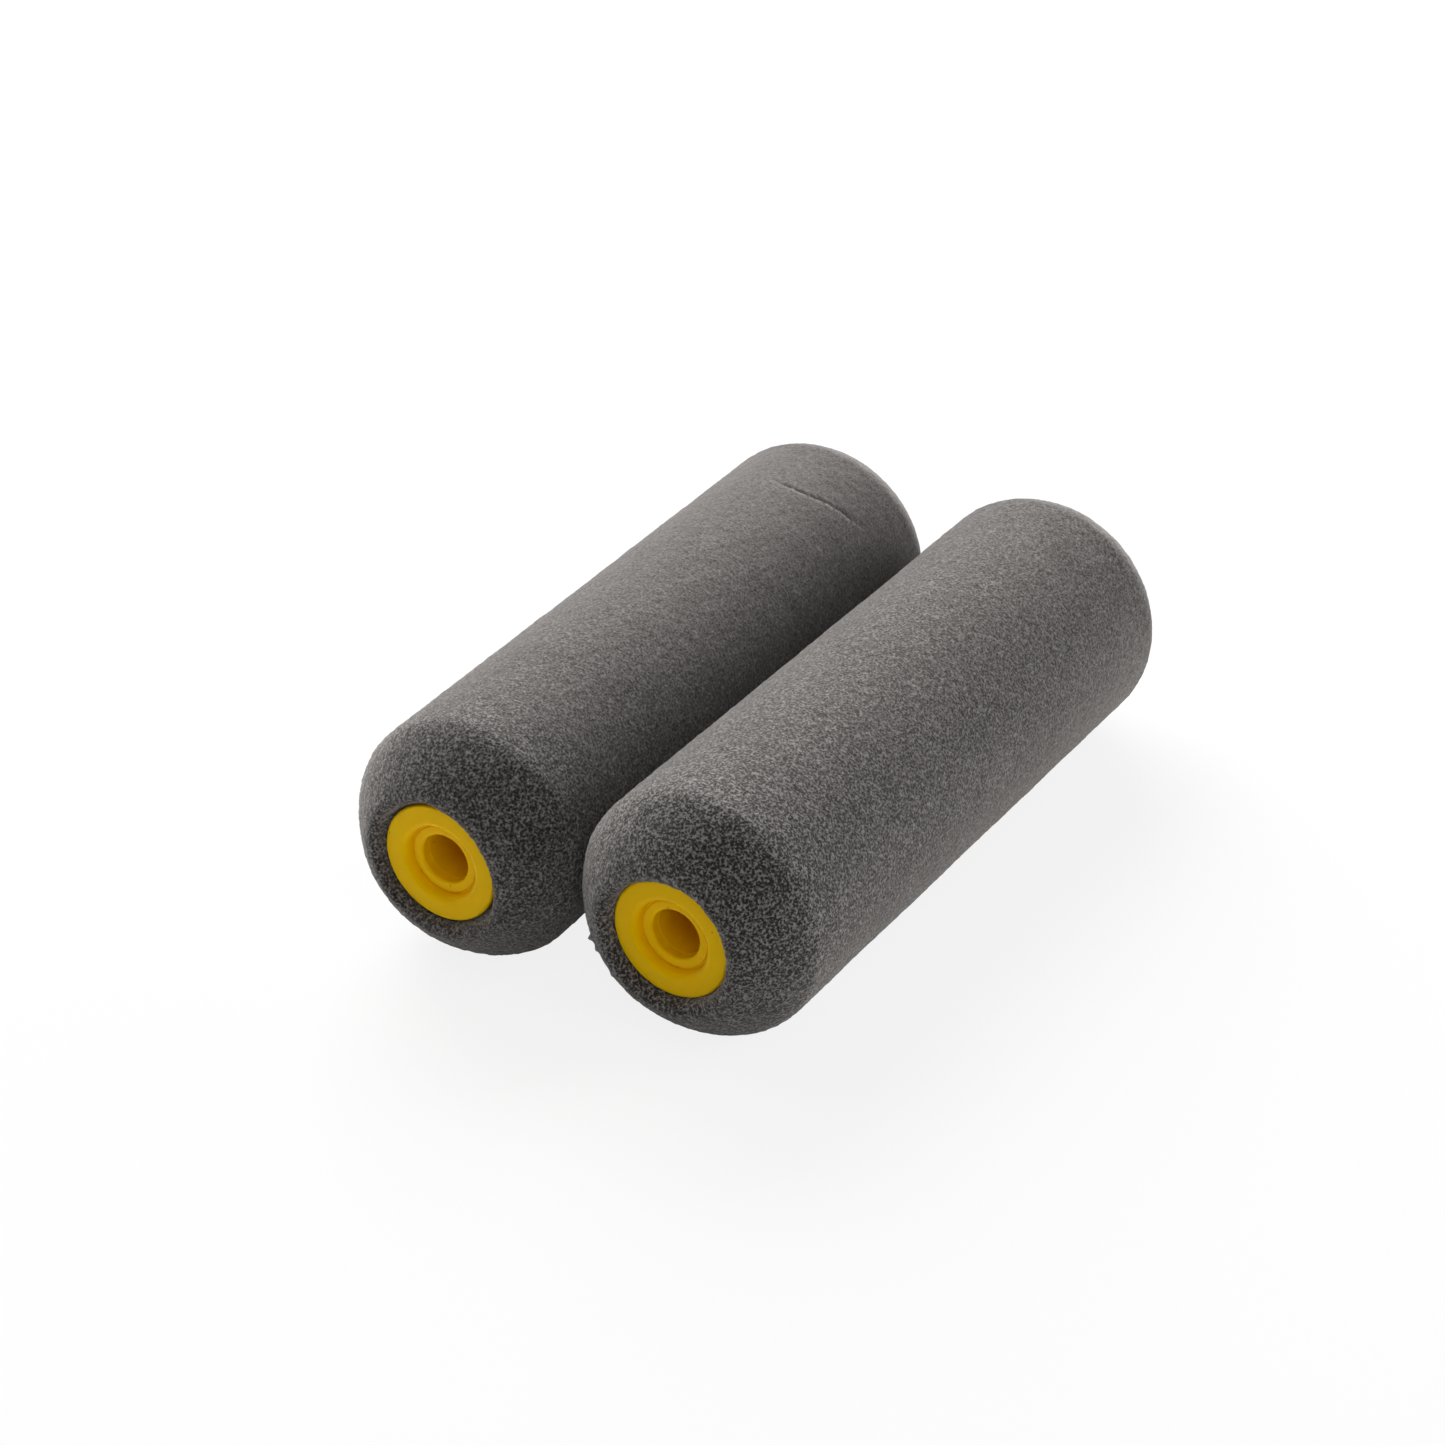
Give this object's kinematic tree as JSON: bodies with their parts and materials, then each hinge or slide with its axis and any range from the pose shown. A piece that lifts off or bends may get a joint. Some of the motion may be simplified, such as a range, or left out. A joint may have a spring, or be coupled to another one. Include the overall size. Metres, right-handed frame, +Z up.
{
  "type": "paint roller sleeve",
  "caption": "Pair of mini foam paint roller sleeves with rounded ends and moulded end caps, bored for a 6 mm roller wire.",
  "frame": {"origin": "middle of the pair's footprint, on the surface the sleeves lie on", "axes": "+Z up, +Y along sleeve A from its front cap to its rear cap, +X from sleeve A to sleeve B"},
  "size_m": [0.0663, 0.1006, 0.032],
  "materials": {
    "foam": "grey open-cell polyurethane foam, matte",
    "cap": "yellow moulded polypropylene, satin",
    "core": "off-white extruded polypropylene tube"
  },
  "bodies": {
    "sleeve_a": {"sleeve_a_foam_cover": "foam", "sleeve_a_core_tube": "core", "sleeve_a_front_cap": "cap", "sleeve_a_rear_cap": "cap"},
    "sleeve_b": {"sleeve_b_foam_cover": "foam", "sleeve_b_core_tube": "core", "sleeve_b_front_cap": "cap", "sleeve_b_rear_cap": "cap"}
  },
  "joints": [
    {"name": "sleeve_b_spin", "type": "hinge", "parent": "sleeve_a", "child": "sleeve_b", "pos_m": [0.01524, -0.04616, 0.016], "axis": [-0.0218, -0.9998, 0], "continuous": true}
  ]
}
